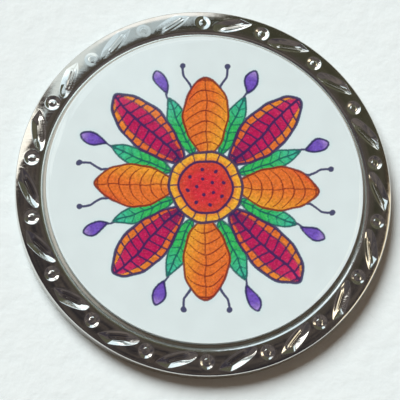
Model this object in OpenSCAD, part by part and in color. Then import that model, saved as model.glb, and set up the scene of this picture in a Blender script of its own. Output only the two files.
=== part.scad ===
// Golf ball marker: a struck steel coin with a leaf-and-bead border, holding a printed
// disc under a clear resin dome. Millimetres. The coin's axis is Z, its face looks up
// along +Z, its back rests on Z = 0, and the top of the printed picture points to +Y.

/* [Coin] */
// Diameter of the coin
coin_d = 25.4; // [23:0.1:32]
// Height of the border band's crown above the back
rim_h = 1.5; // [1.4:0.05:2.5]
// Width of the border band, from the bevel to the outside of the coin
band_w = 1.6; // [1.5:0.02:1.9]
// Radius of the band's arched section
crown_r = 2.6; // [2.3:0.1:4]
// How far the highest line of that arch lies from the band's inner edge
crown_inset = 0.2; // [0.1:0.01:0.5]
// Rounding between the band and the side of the coin
top_edge_r = 0.18; // [0.1:0.01:0.5]
// Rounding between the side of the coin and its back
bottom_edge_r = 0.2; // [0.1:0.01:0.4]
// Width of the bevel between the band and the pocket
bevel_w = 0.18; // [0.1:0.01:0.4]
// Depth of the pocket below the inner edge of the band
pocket_depth = 0.1; // [0.08:0.01:0.3]

/* [Back] */
// Width of the flat ring that the coin lies on
foot_w = 1.5; // [1:0.1:3]
// Depth of the field inside that ring
back_field_depth = 0.1; // [0.05:0.01:0.2]
// Width of the slope between the ring and the field
back_slope_w = 0.25; // [0.1:0.05:0.6]

/* [Border] */
// Number of leaves, with a bead between each two
repeats = 18; // [8:1:18]
// Angle of the first bead
first_bead_angle = 10.7; // [0:0.1:45]
// Length of a leaf
leaf_l = 2.6; // [1.5:0.05:2.8]
// Width of a leaf
leaf_w = 0.7; // [0.4:0.05:0.8]
// Angle that a leaf leans away from the way round the coin
leaf_lean = 22; // [10:1:28]
// Depth of a leaf's floor below the band
leaf_depth = 0.16; // [0.1:0.01:0.2]
// Length of the raised rib along a leaf
rib_l = 2; // [1:0.05:2.4]
// Width of that rib
rib_w = 0.14; // [0.08:0.01:0.25]
// Diameter of the dimple around a bead
dimple_d = 0.92; // [0.6:0.02:1]
// Depth of a dimple's floor below the band
dimple_depth = 0.2; // [0.1:0.01:0.25]
// How far inside the middle of the band the beads stand
bead_inset = 0.1; // [0:0.01:0.15]
// Diameter of the ball whose cap is the bead
bead_d = 0.56; // [0.3:0.02:0.7]
// How far the top of a bead stays below the band
bead_drop = 0.05; // [0.02:0.01:0.08]

/* [Insert] */
// Thickness of the printed disc
disc_t = 0.4; // [0.2:0.01:0.6]
// Thickness of the adhesive under the disc
adhesive_t = 0.1; // [0.05:0.01:0.2]
// Gap between the disc's edge and the foot of the bevel
disc_gap = 0.25; // [0.1:0.01:0.6]
// Gap between the adhesive's edge and the disc's edge
adhesive_inset = 0.1; // [0.05:0.01:0.5]
// How far the resin stops short of the disc's edge
resin_inset = 0.02; // [0.01:0.01:0.05]
// Height of the dome's crown above the disc
dome_h = 0.9; // [0.7:0.05:1.6]
// Radius of the dome's rounded shoulder
shoulder_r = 0.8; // [0.5:0.05:0.9]
// Steepness of the shoulder at the edge of the resin
shoulder_angle = 60; // [45:1:70]

/* [Hidden] */

$fn = 128;
cap_facets = 2160;                               // round the whole circle of the shallow cap
coin_r = coin_d / 2;
over = 1;                                        // cutters run this far past what they cut
band_in_r = coin_r - band_w;
band_mid_r = coin_r - band_w / 2;
crown_x = band_in_r + crown_inset;               // centre of the band's arch
crown_z = rim_h - crown_r;
band_edge_z = arch_z(band_in_r);                 // inner edge of the band

// The top edge's arc touches the side of the coin and, from inside, the band's arch.
edge_x = coin_r - top_edge_r;
edge_z = crown_z + sqrt(pow(crown_r - top_edge_r, 2) - pow(edge_x - crown_x, 2));
touch_x = crown_x + (edge_x - crown_x) * crown_r / (crown_r - top_edge_r);
touch_z = crown_z + (edge_z - crown_z) * crown_r / (crown_r - top_edge_r);

pocket_r = band_in_r - bevel_w;
pocket_floor_z = band_edge_z - pocket_depth;
back_field_r = coin_r - bottom_edge_r - foot_w;

leaf_angle = 180 / repeats;                      // from each bead to the leaf after it
adhesive_top_z = pocket_floor_z + adhesive_t;
disc_top_z = adhesive_top_z + disc_t;
disc_r = pocket_r - disc_gap;
resin_r = disc_r - resin_inset;

// The dome's shoulder starts on the disc at the edge of the resin, and from inside it
// touches the shallow arc of the dome's cap.
dome_top_z = disc_top_z + dome_h;
shoulder_x = resin_r - shoulder_r * sin(shoulder_angle);
shoulder_z = disc_top_z - shoulder_r * cos(shoulder_angle);
shoulder_h = dome_top_z - shoulder_z;
cap_r = (pow(shoulder_x, 2) + pow(shoulder_h, 2) - pow(shoulder_r, 2)) / (2 * (shoulder_h - shoulder_r));
cap_z = dome_top_z - cap_r;
cap_touch_x = shoulder_x * cap_r / (cap_r - shoulder_r);
cap_touch_z = cap_z + (shoulder_z - cap_z) * cap_r / (cap_r - shoulder_r);

// Height of the band's arch at a radius
function arch_z(r) = crown_z + sqrt(pow(crown_r, 2) - pow(r - crown_x, 2));

// Cutter that rounds an outer corner: all that lies outside the arc around "centre", from
// the level of that centre up to the line through "touch", where the arc meets the next one
module corner_cutter(centre, touch, radius) {
    run = over * (touch[0] - centre[0]) / (touch[1] - centre[1]);
    far_x = touch[0] + radius + over;
    difference() {
        polygon([
            centre,
            [far_x, centre[1]],
            [far_x, touch[1] + over],
            [touch[0] + run, touch[1] + over]
        ]);
        translate(centre) circle(r = radius);
    }
}

// Section of the plain coin, before the pocket, the back and the border are cut
module blank_section() {
    difference() {
        union() {
            square([band_in_r, band_edge_z]);
            intersection() {
                translate([band_in_r, 0]) square([band_w, rim_h]);
                translate([crown_x, crown_z]) circle(r = crown_r);
            }
        }
        corner_cutter([edge_x, edge_z], [touch_x, touch_z], top_edge_r);
        translate([coin_r - bottom_edge_r, 0]) difference() {
            translate([0, -over]) square([bottom_edge_r + over, bottom_edge_r + over]);
            translate([0, bottom_edge_r]) circle(r = bottom_edge_r);
        }
    }
}

// Section of the pocket for the disc, with the bevel around its mouth
module pocket_section() {
    polygon([
        [0, pocket_floor_z],
        [pocket_r, pocket_floor_z],
        [band_in_r, band_edge_z],
        [band_in_r, rim_h + over],
        [0, rim_h + over]
    ]);
}

// Section of the shallow field in the back
module back_section() {
    polygon([
        [0, -over],
        [back_field_r, -over],
        [back_field_r, 0],
        [back_field_r - back_slope_w, back_field_depth],
        [0, back_field_depth]
    ]);
}

// A pointed oval, the shape that two equal circles share
module pointed_oval(length, width) {
    arc_r = (pow(length, 2) + pow(width, 2)) / (4 * width);
    intersection() {
        translate([0, width / 2 - arc_r]) circle(r = arc_r);
        translate([0, arc_r - width / 2]) circle(r = arc_r);
    }
}

// Stands its children on the band's arch at a radius, square to the arch there
module on_arch(r) {
    translate([r, 0, arch_z(r)]) rotate([0, asin((r - crown_x) / crown_r), 0]) children();
}

// Cutter for one leaf: a pointed oval well that leaves a rib standing along its middle
module leaf_well() {
    on_arch(band_mid_r) translate([0, 0, -leaf_depth]) rotate([0, 0, 90 + leaf_lean])
        linear_extrude(height = leaf_depth + over) difference() {
            pointed_oval(leaf_l, leaf_w);
            pointed_oval(rib_l, rib_w);
        }
}

// Cutter for one dimple, with the cap of a ball left standing in it
module dimple_well() {
    on_arch(band_mid_r - bead_inset) difference() {
        translate([0, 0, -dimple_depth]) cylinder(d = dimple_d, h = dimple_depth + over);
        translate([0, 0, -bead_drop - bead_d / 2]) sphere(d = bead_d);
    }
}

// Struck and plated steel coin
module coin_body() {
    color("silver") difference() {
        rotate_extrude() blank_section();
        rotate_extrude() pocket_section();
        rotate_extrude() back_section();
        for (i = [0 : repeats - 1]) rotate([0, 0, first_bead_angle + 2 * leaf_angle * i]) {
            dimple_well();
            rotate([0, 0, leaf_angle]) leaf_well();
        }
    }
}

// Layer of pressure-sensitive adhesive between the pocket's floor and the disc
module disc_adhesive() {
    color("gainsboro") translate([0, 0, pocket_floor_z])
        cylinder(r = disc_r - adhesive_inset, h = adhesive_t);
}

// White printed disc
module printed_disc() {
    color("white") translate([0, 0, adhesive_top_z])
        cylinder(r = disc_r, h = disc_t);
}

// Section of the clear dome
module dome_section() {
    difference() {
        intersection() {
            translate([0, disc_top_z]) square([resin_r, dome_h]);
            translate([0, cap_z]) circle(r = cap_r, $fn = cap_facets);
        }
        corner_cutter([shoulder_x, shoulder_z], [cap_touch_x, cap_touch_z], shoulder_r);
    }
}

// Clear resin poured on the disc, which stops at the disc's edge and crowns above it
module clear_dome() {
    color("lightcyan", 0.4) rotate_extrude() dome_section();
}

coin_body();
disc_adhesive();
printed_disc();
clear_dome();
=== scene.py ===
import bpy
import numpy as np
from mathutils import Matrix, Vector


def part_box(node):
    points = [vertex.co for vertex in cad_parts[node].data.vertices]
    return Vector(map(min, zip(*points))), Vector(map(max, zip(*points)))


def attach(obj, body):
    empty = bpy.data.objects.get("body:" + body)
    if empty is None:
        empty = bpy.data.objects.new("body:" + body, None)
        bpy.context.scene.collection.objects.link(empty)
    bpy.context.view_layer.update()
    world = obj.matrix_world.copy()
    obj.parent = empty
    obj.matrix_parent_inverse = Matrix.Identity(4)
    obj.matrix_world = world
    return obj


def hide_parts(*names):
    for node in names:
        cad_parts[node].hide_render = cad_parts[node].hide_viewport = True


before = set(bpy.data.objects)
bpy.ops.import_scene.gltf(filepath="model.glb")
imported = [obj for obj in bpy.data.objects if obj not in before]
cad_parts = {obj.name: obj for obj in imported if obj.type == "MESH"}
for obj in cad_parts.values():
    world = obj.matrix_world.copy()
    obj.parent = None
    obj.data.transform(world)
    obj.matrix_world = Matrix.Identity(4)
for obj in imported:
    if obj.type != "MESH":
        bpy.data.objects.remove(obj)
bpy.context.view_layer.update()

# ---------------------------------------------------------------------------
# coin_body: the coin itself, struck from steel and plated with bright nickel. The dies
# leave an arched band around the face with sunk leaves and beads, a bevel and a shallow
# pocket for the disc, and a shallow field in the back.
# ---------------------------------------------------------------------------
mm = 0.001
coin_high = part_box("coin_body")[1]
adhesive_low, adhesive_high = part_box("disc_adhesive")
coin_r, rim_h, pocket_floor = coin_high.x, coin_high.z, adhesive_low.z
band_w, arch_r, arch_inset = 1.56 * mm, 2.6 * mm, 0.16 * mm
top_edge_r, bottom_edge_r = 0.18 * mm, 0.2 * mm
foot_w, field_depth, slope_w = 1.5 * mm, 0.1 * mm, 0.25 * mm
field_round, pocket_round = 0.1 * mm, 0.05 * mm

# The bevel curves over from its first slope to its last one, both in degrees, and then
# runs straight down to the pocket.
bevel_curve, bevel_first, bevel_last = 0.79 * mm, 8, 28

band_in, band_mid = coin_r - band_w, coin_r - band_w / 2
arch_x, arch_z = band_in + arch_inset, rim_h - arch_r
band_edge = arch_z + (arch_r**2 - arch_inset**2) ** 0.5
edge_x = coin_r - top_edge_r
edge_z = arch_z + ((arch_r - top_edge_r) ** 2 - (edge_x - arch_x) ** 2) ** 0.5
touch = np.degrees(np.arctan2(edge_z - arch_z, edge_x - arch_x))
inner = np.degrees(np.arctan2(band_edge - arch_z, band_in - arch_x))
field_r = coin_r - bottom_edge_r - foot_w

repeats, first_bead = 18, np.radians(10.7)
leaf_turn = np.pi / repeats
fine_turns, plain_turns = 100 * repeats, 20 * repeats


def arc(centre, radius, start, end, steps):
    """Points on a circle in the plane of radius and height: the centre plus the radius
    times (cosine, sine) of an angle that runs evenly from start to end, in degrees."""
    turn = np.radians(np.linspace(start, end, steps))
    return np.stack([centre[0] + radius * np.cos(turn), centre[1] + radius * np.sin(turn)], axis=1)


def corner(before, at, after, radius, steps=4):
    """Points on the arc that rounds a corner between two straight lines. The arc's centre
    lies on the corner's bisector, at the radius over the sine of half the corner's angle."""
    before, at, after = np.array(before), np.array(at), np.array(after)
    back = (before - at) / np.linalg.norm(before - at)
    on = (after - at) / np.linalg.norm(after - at)
    half = np.arccos(np.clip(back @ on, -1, 1)) / 2
    bisector = (back + on) / np.linalg.norm(back + on)
    centre = at + bisector * radius / np.sin(half)
    first, last = at + back * radius / np.tan(half), at + on * radius / np.tan(half)
    share = np.linspace(0, 1, steps)[:, None]
    chord = first * (1 - share) + last * share - centre
    return centre + radius * chord / np.linalg.norm(chord, axis=1)[:, None]


def line(start, end, steps):
    """Points spaced evenly along a straight line, both ends included."""
    return np.linspace(np.array(start), np.array(end), steps)


def ring_mesh(name, rings):
    """Mesh through a list of rings, each an array of points once around the axis. Rings
    with equally many points are joined by four-sided faces. Where one ring has a whole
    multiple of the other's points, each span of the coarser one meets several spans of
    the finer one. A ring of one point closes the mesh in a fan."""
    starts = np.cumsum([0] + [len(r) for r in rings])
    faces = []
    for i, (low, high) in enumerate(zip(rings[:-1], rings[1:])):
        spans = max(min(len(low), len(high)), 1)
        spans = max(len(low), len(high)) if spans == 1 else spans
        j = np.arange(spans)
        sides = []
        for ring, start in ((low, starts[i]), (high, starts[i + 1])):
            each = max(len(ring) // spans, 1)
            steps = np.arange(each + 1) if len(ring) > 1 else np.array([0])
            sides.append(start + (j[:, None] * each + steps) % len(ring))
        faces += np.concatenate([sides[0], sides[1][:, ::-1]], axis=1).tolist()
    mesh = bpy.data.meshes.new(name)
    mesh.from_pydata(np.concatenate(rings).tolist(), [], faces)
    mesh.polygons.foreach_set("use_smooth", np.ones(len(mesh.polygons), bool))
    mesh.update()
    piece = bpy.data.objects.new(name, mesh)
    bpy.context.collection.objects.link(piece)
    return piece


def turned(profile, turns):
    """Rings from a profile of (radius, height) points: each is carried once around the
    axis, in "turns" points, and a point on the axis stays one point."""
    angle = np.arange(turns) * 2 * np.pi / turns
    rings = []
    for r, z in profile:
        around = angle if r > 0 else angle[:1]
        level = np.full(len(around), z)
        rings.append(np.stack([r * np.cos(around), r * np.sin(around), level], axis=1))
    return rings


# Leaves: their oval, the ends of their floor, and the slopes of their walls
leaf_ring, leaf_lean, leaf_sunk = band_mid - 0.07 * mm, np.radians(24), 0.33 * mm
leaf_length, leaf_width, least_half = 2.98 * mm, 0.92 * mm, 0.05 * mm
end_start, end_shift, end_slope, end_turn = 0.25 * mm, 0.3 * mm, 0.26, np.radians(18)
wall_slope, arch_slope, tip_slope, middle_w = 0.58, 0.17, 0.7, 0.08 * mm

# Ribs in a leaf, placed by the share of its half width, and where they fade out
rib_places, rib_height, rib_spread = (-0.55, -0.05), 0.045 * mm, 0.06 * mm
rib_sunk, rib_end, rib_fade, rib_kept = 0.12 * mm, 0.6, 0.2, 0.45

# Beads in their dimples, and the low lip that the strike raised around leaves and dimples
bead_ring, bead_r, bead_height = band_mid - 0.12 * mm, 0.24 * mm, 0.13 * mm
dimple_r, dimple_sunk = 0.5 * mm, 0.2 * mm
lip_height, lip_spread = 0.005 * mm, 0.04 * mm

# The side where the dies struck less deep, and the unevenness from place to place: the
# size, lean, depth and place outwards of each leaf, and the depth and place of each bead
shallow_at, shallow_spread, shallow_share = np.radians(118), np.radians(32), 0.93
size_vary, lean_vary, depth_vary, out_vary = 0.04, np.radians(2), 0.1, 0.03 * mm
strike = np.random.default_rng(7)
leaf_size, leaf_tilt, leaf_depth, leaf_out, bead_depth, bead_out = strike.uniform(-1, 1, (6, repeats))


def near(angle, first, count=repeats):
    """For each angle, the number of the nearest of "count" evenly spaced places around the
    axis, the first one at "first", and the angle from that place."""
    step = 2 * np.pi / count
    number = np.round((angle - first) / step)
    return number.astype(int) % count, angle - first - number * step


def eased(share):
    """Smooth rise from 0 to 1 as a share goes from 0 to 1, level at both ends: the share
    squared, times three less twice the share."""
    share = np.clip(share, 0, 1)
    return share**2 * (3 - 2 * share)


def struck(angle):
    """Share of the full depth that the dies reached. It falls off on one side, by a share
    times e to the minus sixth power of the angle from there over its spread."""
    off = (angle - shallow_at + np.pi) % (2 * np.pi) - np.pi
    return 1 - shallow_share * np.exp(-((off / shallow_spread) ** 6))


def arch_height(radius):
    """Height of the band's arch: its centre's height plus the other side of the right
    triangle whose long side is the arch's radius."""
    return arch_z + np.sqrt(arch_r**2 - (radius - arch_x) ** 2)


def lower_of(one, other, blend_over=0.02 * mm):
    """The lower of two depths, with the crease between them rounded: half of their sum
    less the root of their difference squared plus a small square."""
    return (one + other - np.sqrt((one - other) ** 2 + blend_over**2)) / 2


def level_floor(radius, ring, sunk):
    """Depth below the arch of a level floor that lies "sunk" below the arch at a ring: the
    arch's height less its height at the ring, plus the depth sunk."""
    return arch_height(np.clip(radius, band_in, coin_r)) - arch_height(ring) + sunk


def leaf_place(radius, angle):
    """The number of the nearest leaf, the place along it from -1 at its outer tip to 1 at
    its inner tip, the distance across it, positive outwards, and half its width there,
    which follows an oval a little wider towards the inner tip."""
    number, turn = near(angle, first_bead + leaf_turn)
    x = radius * np.cos(turn) - leaf_ring - out_vary * leaf_out[number]
    y = radius * np.sin(turn)
    lean = leaf_lean + lean_vary * leaf_tilt[number]
    half_length = leaf_length / 2 * (1 + size_vary * leaf_size[number])
    along = (y * np.cos(lean) - x * np.sin(lean)) / half_length
    across = x * np.cos(lean) + y * np.sin(lean)
    half = leaf_width / 2 * np.clip(1 - along**2, 0, 1) ** 0.5 * (1 + 0.05 * along)
    return number, along, across, half


def sunk_leaf(radius, angle):
    """Depth of the leaves below the arch. A leaf is a long oval with sloped walls, steeper
    towards its tips, and a level floor, which rises to both tips and a little outwards
    there. The outer wall is the steeper one against the arch, so both stand equally steep
    in space. Two ribs run along its inner wall, each a bell curve across the leaf, and
    keep more of their height than the leaf does where the dies struck less deep."""
    number, along, across, half = leaf_place(radius, angle)
    inside = half - np.abs(across)
    slope = wall_slope + arch_slope * np.clip(across / middle_w, -1, 1)
    wall = inside * slope * (1 + tip_slope * along**2)
    past = np.abs(along) * leaf_length / 2 * np.cos(end_turn) + across * np.sin(end_turn) - end_start
    past += end_shift * along
    rise = np.clip(past, 0, None) * end_slope
    flat = level_floor(radius, leaf_ring, leaf_sunk * (1 + depth_vary * leaf_depth[number])) - rise
    sunk = np.clip(lower_of(wall, flat), 0, None)
    ribs = sum(np.exp(-(((across - place * half) / rib_spread) ** 2)) for place in rib_places)
    ribs = ribs * eased(sunk / rib_sunk) * eased((rib_end - np.abs(along)) / rib_fade)
    lip = np.exp(-((inside / lip_spread + 1) ** 2)) * (half > least_half)
    reached = struck(angle)
    return (sunk - lip_height * lip) * reached - rib_height * ribs * reached**rib_kept


def leaf_highlight_off(radius, angle):
    """Share of a leaf where the painted highlight is left off: full along the middle of the floor
    and the foot of the inner wall, and none at the tips, on the outer wall and at the inner
    edge. It is the product of three smooth steps."""
    along, across, half = leaf_place(radius, angle)[1:]
    share = across / np.maximum(half, least_half)
    off_tips, off_inner, off_outer = 0.5 - np.abs(along), share + 0.85, 0.35 - share
    return eased(off_tips / 0.2) * eased(off_inner / 0.3) * eased(off_outer / 0.3)


def sunk_bead(radius, angle):
    """Depth of the beads below the arch: a round dimple with a level floor and a sloped
    wall, and half a ball standing in its middle."""
    number, turn = near(angle, first_bead)
    x = radius * np.cos(turn) - bead_ring - out_vary * bead_out[number]
    away = np.hypot(x, radius * np.sin(turn))
    wall = (dimple_r - away) * (wall_slope + arch_slope * x / (away + 0.01 * mm))
    flat = level_floor(radius, bead_ring, dimple_sunk * (1 + depth_vary * bead_depth[number]))
    sunk = np.clip(lower_of(wall, flat), 0, None)
    ball = bead_height * np.sqrt(np.clip(1 - (away / bead_r) ** 2, 0, 1))
    lip = lip_height * np.exp(-(((away - dimple_r) / lip_spread - 1) ** 2))
    return (sunk - ball - lip) * struck(angle)


field, foot = (field_r - slope_w, field_depth), (field_r, 0.0)
bevel_arc = arc((0, 0), bevel_curve, 90 + bevel_first, 90 + bevel_last, 9)
bevel_arc += np.array([band_in, band_edge]) - bevel_arc[0]
pocket_r = bevel_arc[-1, 0] - (bevel_arc[-1, 1] - pocket_floor) / np.tan(np.radians(bevel_last))
bevel_foot, floor_in = (pocket_r, pocket_floor), (pocket_r - 0.2 * mm, pocket_floor)

back_profile = np.concatenate([
    line((0, field_depth), (field[0] - 0.2 * mm, field_depth), 6),
    corner((0, field_depth), field, foot, field_round),
    corner(field, foot, (coin_r, 0), field_round),
    line((field_r + 0.2 * mm, 0), (coin_r - bottom_edge_r - 0.05 * mm, 0), 3),
    arc((coin_r - bottom_edge_r, bottom_edge_r), bottom_edge_r, -90, 0, 6),
])
side_profile = line((coin_r, bottom_edge_r + 0.06 * mm), (coin_r, edge_z - 0.05 * mm), 3)
# The band's arch stops a fifth of a degree short of the bevel, whose arc starts at its edge.
face_profile = np.concatenate([
    arc((edge_x, edge_z), top_edge_r, 0, touch, 7),
    arc((arch_x, arch_z), arch_r, touch, inner - 0.2, 39)[1:],
])
pocket_profile = np.concatenate([
    bevel_arc,
    corner(bevel_arc[-1], bevel_foot, floor_in, pocket_round),
    line(floor_in, (0, pocket_floor), 5),
])

# The leaves and beads are sunk into the rings of the band, and fade out at both its edges.
face_rings = turned(face_profile, fine_turns)
at = np.stack(face_rings)
radius, angle = np.hypot(at[..., 0], at[..., 1]), np.arctan2(at[..., 1], at[..., 0])
inner_fade, outer_fade = 0.1 * mm, 0.15 * mm
within = np.clip((radius - band_in) / inner_fade, 0, 1) * np.clip((coin_r - radius) / outer_fade, 0, 1)
sunk = within * (sunk_leaf(radius, angle) + sunk_bead(radius, angle))
for ring, depth in zip(face_rings, sunk):
    ring[:, 2] -= depth

# Painted highlight: the steep flanks get a lighter nickel colour, but not down in the leaves.
climb = np.gradient(sunk, axis=0) / np.gradient(radius, axis=0)
swing = (np.roll(sunk, -1, axis=1) - np.roll(sunk, 1, axis=1)) / (2 * radius * 2 * np.pi / fine_turns)
bright_slope = 0.25 * struck(angle) ** 0.35
steep = np.hypot(climb, swing) / bright_slope
flank = eased(steep) * (radius < edge_x) * (1 - 0.9 * leaf_highlight_off(radius, angle))

coin_rings = turned(np.concatenate([back_profile, side_profile]), plain_turns) + face_rings
coin_rings += turned(pocket_profile, plain_turns)
coin = ring_mesh("coin_body_struck", coin_rings)

# Two masks go with the mesh: the painted highlight of flanks, bevel and outer edge, and the matt pocket.
at = np.concatenate(coin_rings)
radius, on_face = np.hypot(at[:, 0], at[:, 1]), at[:, 2] > edge_z - 0.01 * mm
pocket_end = pocket_r + 0.02 * mm
on_bevel = (radius > pocket_end) & (radius < band_in - 0.01 * mm)
on_edge = radius > edge_x + 0.1 * mm
in_pocket = on_face & (radius < pocket_end)
# Painted highlight: the bevel takes all of it, the outer edge's rounding four tenths.
bright = on_face * (on_bevel + 0.4 * on_edge)
first = sum(len(ring) for ring in coin_rings[:len(back_profile) + len(side_profile)])
bright[first:first + flank.size] += flank.ravel()
for name, values in (("painted_highlight", np.clip(bright, 0, 1)), ("matt", in_pocket.astype(float))):
    coin.data.attributes.new(name, "FLOAT", "POINT").data.foreach_set("value", values)
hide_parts("coin_body")
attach(coin, "root")

# The band's nickel, and the lighter nickel that paints the highlight on flanks, bevel and edge
band_nickel, highlight_nickel = (0.53, 0.51, 0.475, 1), (1.0, 0.99, 0.96, 1)
pocket_dark, pocket_light = (0.36, 0.35, 0.31, 1), (0.85, 0.84, 0.77, 1)
tarnish_brown = (0.4, 0.33, 0.26, 1)
plating = bpy.data.materials.new("bright_nickel")
plating.use_nodes = True
tree = plating.node_tree


def maths(operation, *values):
    """Adds a maths node to the tree in use. A value is a number or another node's output."""
    made = tree.nodes.new("ShaderNodeMath")
    made.operation = operation
    for socket, value in zip(made.inputs, values):
        if isinstance(value, (int, float)):
            socket.default_value = value
        else:
            tree.links.new(value, socket)
    return made.outputs[0]


def stored(name, output):
    """Output of a node that reads one of the mesh's own attributes."""
    made = tree.nodes.new("ShaderNodeAttribute")
    made.attribute_name = name
    return made.outputs[output]


def noise(per_metre, detail=2.0, roughness=0.5, vector=None):
    """Noise between 0 and 1 fixed to the piece, with "per_metre" cells to a metre."""
    made = tree.nodes.new("ShaderNodeTexNoise")
    for name, value in (("Scale", per_metre), ("Detail", detail), ("Roughness", roughness)):
        made.inputs[name].default_value = value
    if vector is None:
        vector = tree.nodes.new("ShaderNodeTexCoord").outputs["Object"]
    tree.links.new(vector, made.inputs["Vector"])
    return made.outputs["Fac"]


def soft_step(value, low, high):
    """0 below low, 1 above high and smooth in between; low may be above high."""
    made = tree.nodes.new("ShaderNodeMapRange")
    made.interpolation_type = "SMOOTHSTEP"
    for name, number in (("From Min", low), ("From Max", high)):
        made.inputs[name].default_value = number
    tree.links.new(value, made.inputs["Value"])
    return made.outputs["Result"]


def blend(mask, base, colour):
    """Colour mix from base to colour by a mask."""
    made = tree.nodes.new("ShaderNodeMix")
    made.data_type = "RGBA"
    for name, value in (("Factor_Float", mask), ("A_Color", base), ("B_Color", colour)):
        socket = next(s for s in made.inputs if s.identifier == name)
        if isinstance(value, (tuple, float)):
            socket.default_value = value
        else:
            tree.links.new(value, socket)
    return next(s for s in made.outputs if s.identifier == "Result_Color")


def bumped(height, strength, distance, before=None):
    """Normal from a height, on top of an earlier bump's normal if there is one."""
    made = tree.nodes.new("ShaderNodeBump")
    made.inputs["Strength"].default_value = strength
    made.inputs["Distance"].default_value = distance
    tree.links.new(height, made.inputs["Height"])
    if before is not None:
        tree.links.new(before, made.inputs["Normal"])
    return made.outputs["Normal"]


def new_group(name, inputs, outputs):
    """Empty shader node group with float inputs and typed outputs. Gives the group, the
    sockets that bring its inputs in and those that take its results out."""
    group = bpy.data.node_groups.new(name, "ShaderNodeTree")
    for label, start in inputs:
        socket = group.interface.new_socket(label, in_out="INPUT", socket_type="NodeSocketFloat")
        socket.default_value = start
    for label, kind in outputs:
        group.interface.new_socket(label, in_out="OUTPUT", socket_type=kind)
    given, result = group.nodes.new("NodeGroupInput"), group.nodes.new("NodeGroupOutput")
    return group, given.outputs, result.inputs


def use_group(group, **values):
    """Adds a node group to the tree in use, with its inputs set by name."""
    made = tree.nodes.new("ShaderNodeGroup")
    made.node_tree = group
    for label, value in values.items():
        made.inputs[label].default_value = value
    return made.outputs


# Fine grain: a mask and a bumped normal, for cast, pressed and plated surfaces alike
grain_group, given, result = new_group(
    "fine_grain",
    [("Cells", 5000.0), ("Depth", 0.00001)],
    [("Mask", "NodeSocketFloat"), ("Normal", "NodeSocketVector")],
)
tree = grain_group
speckle = tree.nodes.new("ShaderNodeTexNoise")
speckle.inputs["Detail"].default_value, speckle.inputs["Roughness"].default_value = 3, 0.6
tree.links.new(tree.nodes.new("ShaderNodeTexCoord").outputs["Object"], speckle.inputs["Vector"])
tree.links.new(given["Cells"], speckle.inputs["Scale"])
bump = tree.nodes.new("ShaderNodeBump")
tree.links.new(speckle.outputs["Fac"], bump.inputs["Height"])
tree.links.new(given["Depth"], bump.inputs["Distance"])
tree.links.new(speckle.outputs["Fac"], result["Mask"])
tree.links.new(bump.outputs["Normal"], result["Normal"])

# Handling scratches: three sets of short thin lines, each from noise stretched one way. A
# line runs where the noise comes within "Reach" of one value.
scratch_group, given, result = new_group(
    "scratches",
    [("Cells", 260.0), ("Reach", 0.06)],
    [("Mask", "NodeSocketFloat")],
)
tree = scratch_group
place = tree.nodes.new("ShaderNodeTexCoord").outputs["Object"]
scratch_value, stretch = 0.62, 26
sets = []
for turn in (0.5, 1.9, 2.7):
    turned_place = tree.nodes.new("ShaderNodeMapping")
    turned_place.inputs["Rotation"].default_value = (0, 0, turn)
    turned_place.inputs["Scale"].default_value = (1, stretch, 1)
    tree.links.new(place, turned_place.inputs["Vector"])
    stretched = tree.nodes.new("ShaderNodeTexNoise")
    stretched.inputs["Detail"].default_value = 1
    tree.links.new(turned_place.outputs["Vector"], stretched.inputs["Vector"])
    tree.links.new(given["Cells"], stretched.inputs["Scale"])
    off = maths("ABSOLUTE", maths("SUBTRACT", stretched.outputs["Fac"], scratch_value))
    sets.append(maths("SUBTRACT", 1.0, maths("DIVIDE", off, given["Reach"])))
deepest = maths("MAXIMUM", maths("MAXIMUM", sets[0], sets[1]), sets[2])
tree.links.new(maths("MAXIMUM", deepest, 0.0), result["Mask"])

tree = plating.node_tree
painted_highlight = stored("painted_highlight", "Fac")
matt = stored("matt", "Fac")
wear = noise(900, 4, 0.6)
scratched = use_group(scratch_group, Cells=300.0, Reach=0.03)["Mask"]
# Painted highlight: a lighter nickel where the mask is set, so these parts mirror the windows brighter.
highlighted_nickel = blend(painted_highlight, band_nickel, highlight_nickel)
most_tarnish = maths("SUBTRACT", 0.35, maths("MULTIPLY", painted_highlight, 0.3))
tarnish = maths("MULTIPLY", soft_step(wear, 0.5, 0.72), most_tarnish)
shade = blend(tarnish, highlighted_nickel, tarnish_brown)
shader = tree.nodes["Principled BSDF"]

# The pocket's floor shows the fine rings that its die was turned with: noise of the
# distance from the axis alone.
axes = tree.nodes.new("ShaderNodeSeparateXYZ")
tree.links.new(tree.nodes.new("ShaderNodeTexCoord").outputs["Object"], axes.inputs["Vector"])
squares = [maths("POWER", axes.outputs[name], 2.0) for name in ("X", "Y")]
along_radius = tree.nodes.new("ShaderNodeCombineXYZ")
tree.links.new(maths("SQRT", maths("ADD", *squares)), along_radius.inputs["X"])
turned_rings = noise(11000, 1, 0.5, along_radius.outputs["Vector"])
frosted = blend(soft_step(turned_rings, 0.4, 0.6), pocket_dark, pocket_light)
tree.links.new(maths("MULTIPLY_ADD", matt, -0.7, 1.0), shader.inputs["Metallic"])
tree.links.new(blend(matt, shade, frosted), shader.inputs["Base Color"])
polish = maths("MULTIPLY_ADD", wear, 0.08, maths("MULTIPLY_ADD", scratched, 0.12, 0.03))
tree.links.new(maths("MAXIMUM", polish, maths("MULTIPLY", matt, 0.32)), shader.inputs["Roughness"])
pitted = use_group(grain_group, Cells=4500.0, Depth=0.0000012)["Normal"]
waves = bumped(noise(1300, 2, 0.5), 1.0, 0.000007, pitted)
tree.links.new(bumped(scratched, 0.3, 0.0000015, waves), shader.inputs["Normal"])
coin.data.materials.append(plating)

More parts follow.
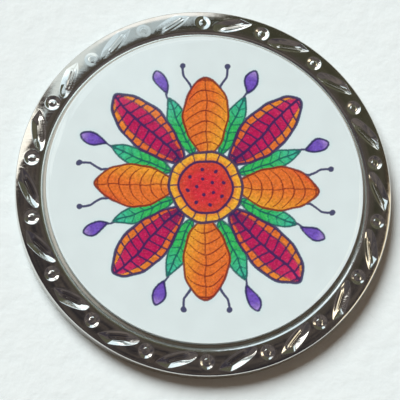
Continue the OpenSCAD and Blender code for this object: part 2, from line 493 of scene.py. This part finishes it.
# ---------------------------------------------------------------------------
# disc_adhesive: a thin milky layer of pressure-sensitive acrylic adhesive, die-cut a
# little smaller than the disc, which holds the disc to the pocket's floor.
# ---------------------------------------------------------------------------
glue_r, glue_bottom, glue_top = adhesive_high.x, adhesive_low.z, adhesive_high.z
glue_bulge = (glue_top - glue_bottom) / 2
glue = ring_mesh("disc_adhesive_layer", turned(np.concatenate([
    line((0, glue_bottom), (glue_r - 1.5 * glue_bulge, glue_bottom), 4),
    arc((glue_r - glue_bulge, glue_bottom + glue_bulge), glue_bulge, -90, 90, 9),
    line((glue_r - 1.5 * glue_bulge, glue_top), (0, glue_top), 4),
]), plain_turns))
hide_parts("disc_adhesive")
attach(glue, "root")

glue_dull, glue_pale = (0.83, 0.84, 0.8, 1), (0.88, 0.89, 0.87, 1)
acrylic = bpy.data.materials.new("milky_adhesive")
acrylic.use_nodes = True
tree = acrylic.node_tree
shader = tree.nodes["Principled BSDF"]
pressed = use_group(grain_group, Cells=2600.0, Depth=0.000012)
tint = blend(soft_step(pressed["Mask"], 0.4, 0.65), glue_dull, glue_pale)
tree.links.new(tint, shader.inputs["Base Color"])
tree.links.new(maths("MULTIPLY_ADD", pressed["Mask"], 0.3, 0.35), shader.inputs["Roughness"])
tree.links.new(pressed["Normal"], shader.inputs["Normal"])
glue.data.materials.append(acrylic)

# ---------------------------------------------------------------------------
# printed_disc: a round of white plastic with a rosette printed on its face in colour,
# stuck into the pocket of the coin. The picture is a traditional eightfold flower.
# ---------------------------------------------------------------------------
disc_low, disc_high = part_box("printed_disc")
disc_r, disc_bottom, disc_top = disc_high.x, disc_low.z, disc_high.z
disc_cells, disc_edge_r = 284, 0.04 * mm


def disc_grid(count):
    """Points of a square grid carried onto a disc of radius 1. Each square around the
    middle becomes a circle, and its four sides share the circle's turn evenly."""
    step = np.linspace(-1, 1, count + 1)
    x, y = np.meshgrid(step, step)
    wide = np.abs(x) >= np.abs(y)
    ring, side = np.where(wide, x, y), np.where(wide, y, x)
    turn = np.pi / 4 * side / np.where(ring == 0, 1, ring)
    out, aside = ring * np.cos(turn), ring * np.sin(turn)
    return np.where(wide, out, aside), np.where(wide, aside, out)


grid_x, grid_y = (c * (disc_r - disc_edge_r) for c in disc_grid(disc_cells))
number = np.arange((disc_cells + 1) ** 2).reshape(disc_cells + 1, -1)
corners = (number[:-1, :-1], number[:-1, 1:], number[1:, 1:], number[1:, :-1])
edge = np.concatenate([number[0, :-1], number[:-1, -1], number[-1, :0:-1], number[:0:-1, 0]])
points = [np.stack([grid_x.ravel(), grid_y.ravel(), np.full(number.size, disc_top)], axis=1)]
faces = [np.stack(corners, axis=-1).reshape(-1, 4)]

# The grid's outline is carried on over the rounded edge, down the side and in under the
# disc, where a fan closes it.
turn = np.arctan2(grid_y.ravel()[edge], grid_x.ravel()[edge])
last, count = edge, number.size
for r, z in np.concatenate([
    arc((disc_r - disc_edge_r, disc_top - disc_edge_r), disc_edge_r, 90, 0, 4)[1:],
    line((disc_r, disc_bottom), (0.3 * disc_r, disc_bottom), 3),
]):
    points.append(np.stack([r * np.cos(turn), r * np.sin(turn), np.full(len(turn), z)], axis=1))
    here = count + np.arange(len(edge))
    faces.append(np.stack([last, here, np.roll(here, -1), np.roll(last, -1)], axis=1))
    last, count = here, count + len(edge)
points.append(np.array([[0, 0, disc_bottom]]))
fan = np.stack([last, np.full(len(last), count), np.roll(last, -1)], axis=1)
mesh = bpy.data.meshes.new("printed_disc_face")
mesh.from_pydata(np.concatenate(points).tolist(), [], np.concatenate(faces).tolist() + fan.tolist())
mesh.polygons.foreach_set("use_smooth", np.ones(len(mesh.polygons), bool))
mesh.update()
disc = bpy.data.objects.new("printed_disc_face", mesh)
bpy.context.collection.objects.link(disc)
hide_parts("printed_disc")
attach(disc, "root")


def ink(red, green, blue):
    """Linear colour of an ink given in screen values from 0 to 255, by the usual curve of
    screens: a straight foot, then a power of 2.4."""
    share = np.array([red, green, blue]) / 255
    return np.where(share < 0.04045, share / 12.92, ((share + 0.055) / 1.055) ** 2.4)


navy, plum, magenta, rose = ink(38, 34, 92), ink(88, 26, 78), ink(186, 22, 88), ink(205, 52, 104)
yellow, amber, orange, scarlet = ink(238, 176, 56), ink(230, 150, 50), ink(224, 116, 48), ink(208, 74, 50)
green, teal, red, rust = ink(48, 186, 96), ink(66, 190, 170), ink(208, 46, 62), ink(122, 40, 34)
violet, purple, lilac, moss = ink(112, 84, 190), ink(74, 44, 130), ink(172, 150, 220), ink(24, 92, 92)

# The picture is worked out in millimetres. Slow waves bend it a little, as a hand would.
# "far" stands for no ink or line near by, and a colour runs on under its outline by the
# overprint.
x, y = grid_x.ravel() / mm, grid_y.ravel() / mm
art_x = x + 0.05 * np.sin(1.7 * y + 0.4) + 0.03 * np.sin(3.9 * y - x)
art_y = y + 0.05 * np.sin(1.5 * x + 2.1) + 0.03 * np.sin(4.3 * x + y)
away, bearing = np.hypot(art_x, art_y), np.arctan2(art_y, art_x)
fill = np.tile(ink(255, 255, 255), (x.size, 1))
line_fill = np.tile(navy, (x.size, 1))
far, overprint = 9.0, 0.04
ink_edge, line_gap = np.full(x.size, far), np.full(x.size, far)


def path_gap(x, y, path):
    """Distance from each point to the nearest of a path's straight pieces, measured to
    the start of a piece plus the share of its run that lies square to the point."""
    gap = np.full(x.shape, far)
    for (from_x, from_y), (to_x, to_y) in zip(path[:-1], path[1:]):
        run, rise = to_x - from_x, to_y - from_y
        share = np.clip(((x - from_x) * run + (y - from_y) * rise) / (run**2 + rise**2), 0, 1)
        gap = np.minimum(gap, np.hypot(x - from_x - share * run, y - from_y - share * rise))
    return gap


def petal(first, count, base, tip, half_width, fullness, bluntness):
    """For petals spaced evenly around the middle: the place along the petal from 0 at its
    base to 1 at its tip, the distance from its middle line, the same as a share of its half
    width, and the distance from its outline, negative inside. The half width follows the
    sine of half a turn times the place raised to "fullness", raised to "bluntness"."""
    number, turn = near(bearing, first, count)
    size = 1 + 0.025 * np.sin(2.4 * number + first)
    out, side = away * np.cos(turn) / size, away * np.sin(turn) / size
    place = np.clip((out - base) / (tip - base), 0, 1)
    steps = (1 - np.cos(np.linspace(0, np.pi, 44))) / 2
    widths = half_width * np.sin(np.pi * steps**fullness).clip(0) ** bluntness
    here = np.interp(place, steps, widths)
    within = (out > base) & (out < tip) & (np.abs(side) < here)
    gap = path_gap(out, np.abs(side), np.stack([base + (tip - base) * steps, widths], axis=1))
    return place, side, side / np.maximum(here, 0.05), np.where(within, -gap, gap)


def mixed(share, *colours):
    """Colours spread evenly along a share from 0 to 1, with straight mixes in between."""
    stops = np.linspace(0, 1, len(colours))
    share = np.clip(share, 0, 1)
    return np.stack([np.interp(share, stops, [c[k] for c in colours]) for k in range(3)], axis=1)


def draw(shape_gap, colour, line_colour, half_line, veins=far, half_vein=0.0):
    """Prints one shape over what is there: its colour inside its outline, its veins, and
    the outline itself. Veins and outline are kept as the distance from the line's edge."""
    covered = shape_gap < overprint
    fill[covered] = np.broadcast_to(colour, fill.shape)[covered]
    inside = shape_gap < 0
    line_gap[inside] = np.broadcast_to(veins - half_vein, line_gap.shape)[inside]
    line_fill[inside] = line_colour
    outline = np.abs(shape_gap) - half_line
    nearer = outline < line_gap
    line_gap[nearer] = outline[nearer]
    line_fill[nearer] = line_colour
    ink_edge[:] = np.minimum(ink_edge, shape_gap)


def bars(place, spacing):
    """Distance from the nearest of a row of evenly spaced lines."""
    return np.abs(place / spacing - np.floor(place / spacing) - 0.5) * spacing


eighth = np.pi / 4
between = eighth / 2

# Thin stems with dots at their ends, beside the orange petals and out of the leaves
turn = near(bearing, 0, 4)[1]
out, side = away * np.cos(turn), np.abs(away * np.sin(turn))
stem = path_gap(out, side, [(6.0, 0.95), (7.0, 1.0), (7.7, 1.45), (8.3, 1.5)])
stem = np.minimum(stem - 0.07, np.hypot(out - 8.45, side - 1.52) - 0.19)
turn = near(bearing, between, 8)[1]
out, side = away * np.cos(turn), away * np.sin(turn)
stem = np.minimum(stem, path_gap(out, side, [(6.0, 0.0), (6.7, 0.1), (7.4, 0.0)]) - 0.06)
line_gap[:] = stem

# Eight green leaves between the petals, and a violet bud beyond each
place, side, share, gap = petal(
    between, 8, base=2.4, tip=6.75, half_width=0.68, fullness=0.95, bluntness=0.72
)
side_veins = bars(4.35 * place - 0.7 * np.abs(side), 0.62) + 0.4 * (np.abs(share) > 0.8)
veins = np.minimum(np.abs(side) - 0.01, side_veins)
draw(gap, mixed(place, green, green, teal), moss, half_line=0.05, veins=veins, half_vein=0.035)

place, side, share, gap = petal(
    between, 8, base=7.1, tip=8.85, half_width=0.42, fullness=1.45, bluntness=0.62
)
draw(gap, mixed(place, purple, violet, violet, lilac), navy, half_line=0.055)

# Four orange petals on the axes
place, side, share, gap = petal(0.0, 4, base=2.0, tip=7.6, half_width=1.5, fullness=1.1, bluntness=0.62)
veins = bars(5.6 * place + 0.5 * side**2, 0.72) + 0.5 * (np.abs(share) > 0.9)
veins = np.minimum(veins, np.abs(side + 0.06 * np.sin(4 * place)) + 0.01)
across = 0.5 + 0.5 * share
colour = mixed(0.62 * across + 0.38 * place, yellow, amber, orange, orange, scarlet)
draw(gap, colour, rust, half_line=0.06, veins=veins, half_vein=0.035)

# Four magenta petals between them, with orange margins
margin = 0.62
place, side, share, gap = petal(
    eighth, 4, base=2.0, tip=8.75, half_width=1.42, fullness=1.25, bluntness=0.6
)
veins = bars(6.75 * place + 0.22 * np.sign(side) + 0.25 * np.abs(side), 0.66)
veins = np.minimum(veins, np.abs(side + 0.08 * np.sin(5 * place)) - 0.02)
veins = np.minimum(veins, np.abs(np.abs(share) - margin) * 1.3 + 0.015)
colour = mixed(place, plum, magenta, magenta, rose)
colour = np.where((np.abs(share) > margin)[:, None], mixed(place, scarlet, orange, amber), colour)
draw(gap, colour, navy, half_line=0.085, veins=veins, half_vein=0.05)

# The middle: a yellow ring with rays around a red button, and two rings of seeds on that
collar_r, button_r = 2.45, 1.8
turn = near(bearing, between, 16)[1]
rays = np.abs(away * np.sin(turn)) + far * (away < button_r)
colour = mixed((away - button_r) / (collar_r - button_r), orange, yellow, yellow)
draw(away - collar_r, colour, navy, half_line=0.085, veins=rays, half_vein=0.035)

seeds = np.full(x.size, far)
for first, count, ring, seed_r in ((0.2, 8, 1.25, 0.12), (0.6, 5, 0.58, 0.11)):
    turn = near(bearing, first, count)[1]
    seeds = np.minimum(seeds, np.hypot(away * np.cos(turn) - ring, away * np.sin(turn)) - seed_r)
colour = mixed(away / button_r, red, red, scarlet)
draw(away - button_r, colour, navy, half_line=0.07, veins=seeds)

# Four layers go with the mesh, over the grid of the face: both inks, and how near their
# edges are. The rest of the disc stays blank.
for name, kind, values in (
    ("ink_fill", "FLOAT_COLOR", np.concatenate([fill, np.ones((x.size, 1))], axis=1)),
    ("line_fill", "FLOAT_COLOR", np.concatenate([line_fill, np.ones((x.size, 1))], axis=1)),
    ("ink_edge", "FLOAT", ink_edge),
    ("line_gap", "FLOAT", line_gap),
):
    layer = mesh.attributes.new(name, kind, "POINT")
    blank = np.ones((len(mesh.vertices), values[0].size if values.ndim > 1 else 1))
    blank[: x.size] = values.reshape(x.size, -1)
    layer.data.foreach_set("color" if kind == "FLOAT_COLOR" else "value", blank.ravel())

white_dull, white_pale = (0.738, 0.872, 0.906, 1), (0.758, 0.897, 0.931, 1)
ink_halo, bare_speck = (0.58, 0.82, 0.88, 1), (0.9, 0.75, 0.6, 1)
plastic = bpy.data.materials.new("printed_white_plastic")
plastic.use_nodes = True
tree = plastic.node_tree
ragged = maths("MULTIPLY", maths("SUBTRACT", noise(9000), 0.5), 0.07)
ink_place = maths("ADD", stored("ink_edge", "Fac"), ragged)
line_place = maths("ADD", stored("line_gap", "Fac"), ragged)
pressed = use_group(grain_group, Cells=11000.0, Depth=0.0000015)
grain = pressed["Mask"]
white = blend(soft_step(noise(700), 0.35, 0.65), white_dull, white_pale)
white = blend(maths("MULTIPLY", soft_step(ink_place, 0.42, 0.0), 0.35), white, ink_halo)
strength = tree.nodes.new("ShaderNodeVectorMath")
strength.operation = "SCALE"
tree.links.new(stored("ink_fill", "Color"), strength.inputs[0])
tree.links.new(maths("MULTIPLY_ADD", noise(5200, 2, 0.6), 1.3, 0.38), strength.inputs["Scale"])
speck = maths("MULTIPLY", soft_step(grain, 0.55, 0.8), 0.25)
inked = blend(speck, strength.outputs["Vector"], bare_speck)
printed = blend(soft_step(ink_place, 0.03, -0.03), white, inked)
line_cover = maths("MULTIPLY", soft_step(line_place, 0.045, -0.02), 0.93)
lined = blend(line_cover, printed, stored("line_fill", "Color"))
shader = tree.nodes["Principled BSDF"]
tree.links.new(lined, shader.inputs["Base Color"])
tree.links.new(maths("MULTIPLY_ADD", grain, 0.2, 0.4), shader.inputs["Roughness"])
tree.links.new(pressed["Normal"], shader.inputs["Normal"])
disc.data.materials.append(plastic)

# ---------------------------------------------------------------------------
# clear_dome: clear two-part resin, poured on the printed face and held at the disc's
# edge by its own surface tension, so it sets with a round shoulder and a shallow crown.
# ---------------------------------------------------------------------------
dome_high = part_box("clear_dome")[1]
dome_top, resin_r = dome_high.z, dome_high.x
shoulder_r, shoulder_angle = 0.8 * mm, 60
bond = 0.003 * mm  # how far the resin bites into the print
shoulder_x = resin_r - shoulder_r * np.sin(np.radians(shoulder_angle))
shoulder_z = disc_top - shoulder_r * np.cos(np.radians(shoulder_angle))
shoulder_h = dome_top - shoulder_z
cap_r = (shoulder_x**2 + shoulder_h**2 - shoulder_r**2) / (2 * (shoulder_h - shoulder_r))
cap_turn = np.degrees(np.arctan2(shoulder_z - dome_top + cap_r, shoulder_x))
dome_profile = np.concatenate([
    line((0, disc_top - bond), (resin_r, disc_top - bond), 3),
    arc((shoulder_x, shoulder_z), shoulder_r, 90 - shoulder_angle, cap_turn, 24),
    arc((0, dome_top - cap_r), cap_r, cap_turn, 90, 24)[1:],
])
dome_profile[-1, 0] = 0
dome = ring_mesh("clear_dome_cast", turned(dome_profile, 360))
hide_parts("clear_dome")
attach(dome, "root")

# Light and mirrored rays pass the clear resin, so the print under it isn't darkened.
dome.visible_shadow = False
dome.visible_diffuse = False
dome.visible_glossy = False

resin = bpy.data.materials.new("clear_resin_cast")
resin.use_nodes = True
tree = resin.node_tree
shader = tree.nodes["Principled BSDF"]
shader.inputs["Base Color"].default_value = (0.99, 1, 1, 1)
shader.inputs["IOR"].default_value = 1.5
shader.inputs["Transmission Weight"].default_value = 1
rubbed = use_group(scratch_group, Cells=160.0, Reach=0.012)["Mask"]
gloss = maths("MULTIPLY_ADD", noise(400, 3), 0.02, 0.01)
tree.links.new(maths("MULTIPLY_ADD", rubbed, 0.06, gloss), shader.inputs["Roughness"])
tree.links.new(bumped(noise(220, 2), 1.0, 0.000004), shader.inputs["Normal"])
dome.data.materials.append(resin)

# ---------------------------------------------------------------------------
# floor: a plain sheet of pale bluish paper that the coin lies on, flat for half a metre
# around it. Beyond that the sheet curves up a little all round.
# ---------------------------------------------------------------------------
floor_r, turn_r, slope, slope_length = 0.5, 0.2, 25, 0.06
uphill = np.array([np.cos(np.radians(slope)), np.sin(np.radians(slope))])
floor_edge = arc((floor_r, turn_r), turn_r, -90, slope - 90, 8)
floor_end = floor_edge[-1] + slope_length * uphill
floor = ring_mesh("floor", turned(np.concatenate([
    line((0, 0), (floor_r, 0), 3),
    floor_edge[1:],
    line(floor_edge[-1], floor_end, 2)[1:],
]), 90))
floor.data.flip_normals()

paper_dull, paper_pale = (0.795, 0.905, 0.935, 1), (0.865, 0.965, 0.99, 1)
ground = bpy.data.materials.new("pale_floor")
ground.use_nodes = True
tree = ground.node_tree
shader = tree.nodes["Principled BSDF"]
fibres = use_group(grain_group, Cells=900.0, Depth=0.00006)
tree.links.new(blend(fibres["Mask"], paper_dull, paper_pale), shader.inputs["Base Color"])
tree.links.new(fibres["Normal"], shader.inputs["Normal"])
shader.inputs["Roughness"].default_value = 0.9
shader.inputs["Specular IOR Level"].default_value = 0.1
floor.data.materials.append(ground)

# ---------------------------------------------------------------------------
# light: one soft lamp gives the daylight and the shadow. The room around the coin is
# dim, with two bright windows and a strip of warm light that the metal mirrors.
# ---------------------------------------------------------------------------
daylight = bpy.data.lights.new("daylight", "SUN")
daylight.energy, daylight.angle, daylight.color = 3.97, np.radians(36), (1, 0.995, 0.98)


def way(azimuth, zenith):
    """Unit vector towards an azimuth, counted from +X towards +Y, and an angle from
    straight up, both in degrees."""
    a, z = np.radians(azimuth), np.radians(zenith)
    return Vector((np.sin(z) * np.cos(a), np.sin(z) * np.sin(a), np.cos(z)))


holder = bpy.data.objects.new("daylight", daylight)
holder.rotation_euler = way(124, 47.5).to_track_quat("Z", "Y").to_euler()
holder.visible_camera = False
holder.visible_glossy = False
bpy.context.collection.objects.link(holder)

room = bpy.data.worlds.new("room")
room.use_nodes = True
tree = room.node_tree
where = tree.nodes.new("ShaderNodeTexCoord")
axes = tree.nodes.new("ShaderNodeSeparateXYZ")
tree.links.new(where.outputs["Generated"], axes.inputs["Vector"])
bearing = maths("DEGREES", maths("ARCTAN2", axes.outputs["Y"], axes.outputs["X"]))
height = maths("DEGREES", maths("ARCCOSINE", axes.outputs["Z"]))


def patch(first, last, top, bottom, soft, lean=0.0):
    """Mask of a soft-edged patch of the room between two azimuths and two angles from
    straight up, in degrees: the product of four smooth steps. "lean" moves it down by
    that many degrees for each degree past its first azimuth."""
    down = maths("SUBTRACT", height, maths("MULTIPLY", maths("SUBTRACT", bearing, first), lean))
    mask = soft_step(bearing, first - soft, first + soft)
    mask = maths("MULTIPLY", mask, soft_step(bearing, last + soft, last - soft))
    mask = maths("MULTIPLY", mask, soft_step(down, top - soft, top + soft))
    return maths("MULTIPLY", mask, soft_step(down, bottom + soft, bottom - soft))


cloud = tree.nodes.new("ShaderNodeTexNoise")
for name, value in (("Scale", 5.0), ("Detail", 3.0), ("Roughness", 0.6)):
    cloud.inputs[name].default_value = value
tree.links.new(where.outputs["Generated"], cloud.inputs["Vector"])

# The walls, the strip and the windows in the order in which they cover each other: where
# each is, how fully it covers what is behind it, and its colour
corner_dark, wall_brown = (0.045, 0.042, 0.048, 1), (0.15, 0.128, 0.115, 1)
mirrored = blend(soft_step(cloud.outputs["Fac"], 0.35, 0.68), corner_dark, wall_brown)
for place, share, colour in (
    (patch(20, 86, 20, 110, 12), 0.7, (0.09, 0.094, 0.055, 1)),            # olive wall
    (patch(-25, 30, 62, 100, 10), 0.7, (0.11, 0.075, 0.048, 1)),           # brown wall
    (patch(-185, -25, 54, 110, 9), 0.85, (0.036, 0.032, 0.044, 1)),        # dark side of the room
    (patch(-30, 18, 66, 94, 3.5), 1.0, (1.7, 1.5, 1.1, 1)),                # strip of warm light
    (patch(84, 127.5, 21, 112, 2.5, 0.3), 1.0, (0.75, 0.9, 0.97, 1)),      # large window
    (patch(82, 128, 64, 112, 4), 1.0, (1.7, 1.75, 1.75, 1)),               # its bright lower part
    (patch(111, 128, 30, 112, 5, 0.4), 1.0, (1.17, 1.3, 1.32, 1)),         # its bright far side
    (patch(136.5, 161, 37, 112, 2.5, 1.0), 1.0, (1.95, 1.95, 1.85, 1)),    # second window
):
    mirrored = blend(maths("MULTIPLY", place, share), mirrored, colour)

# Only mirrored rays see the windows. The rest of the room's light is a dim warm glow.
glow = (0.134, 0.085, 0.058, 1)
path = tree.nodes.new("ShaderNodeLightPath")
seen = blend(path.outputs["Is Glossy Ray"], glow, mirrored)
tree.links.new(seen, tree.nodes["Background"].inputs["Color"])
bpy.context.scene.world = room

# ---------------------------------------------------------------------------
# camera: it stands 16 degrees off the coin's axis, over the near side of the coin, and
# looks down on it through a long lens from far off, so the coin shows almost as in a plan.
# ---------------------------------------------------------------------------
tilt, turn, reach = 16.2, -20, 16 * coin_r
aim_left, aim_below = 0.332 * mm, 0.712 * mm
eye = bpy.data.cameras.new("camera")
eye.sensor_width, eye.lens = 36, 272.736
eye.clip_start, eye.clip_end = 0.01, 5
camera = bpy.data.objects.new("camera", eye)
bpy.context.collection.objects.link(camera)
towards = way(turn - 90, tilt)
right = Vector((0, 1, 0)).cross(towards).normalized()
up = towards.cross(right)
aim = Vector((0, 0, rim_h)) - right * aim_left - up * aim_below
camera.location = aim + towards * reach
camera.rotation_euler = Matrix((right, up, towards)).transposed().to_euler()
bpy.context.scene.camera = camera
bpy.context.scene.view_settings.view_transform = "Standard"  # colours as they are, without a film look
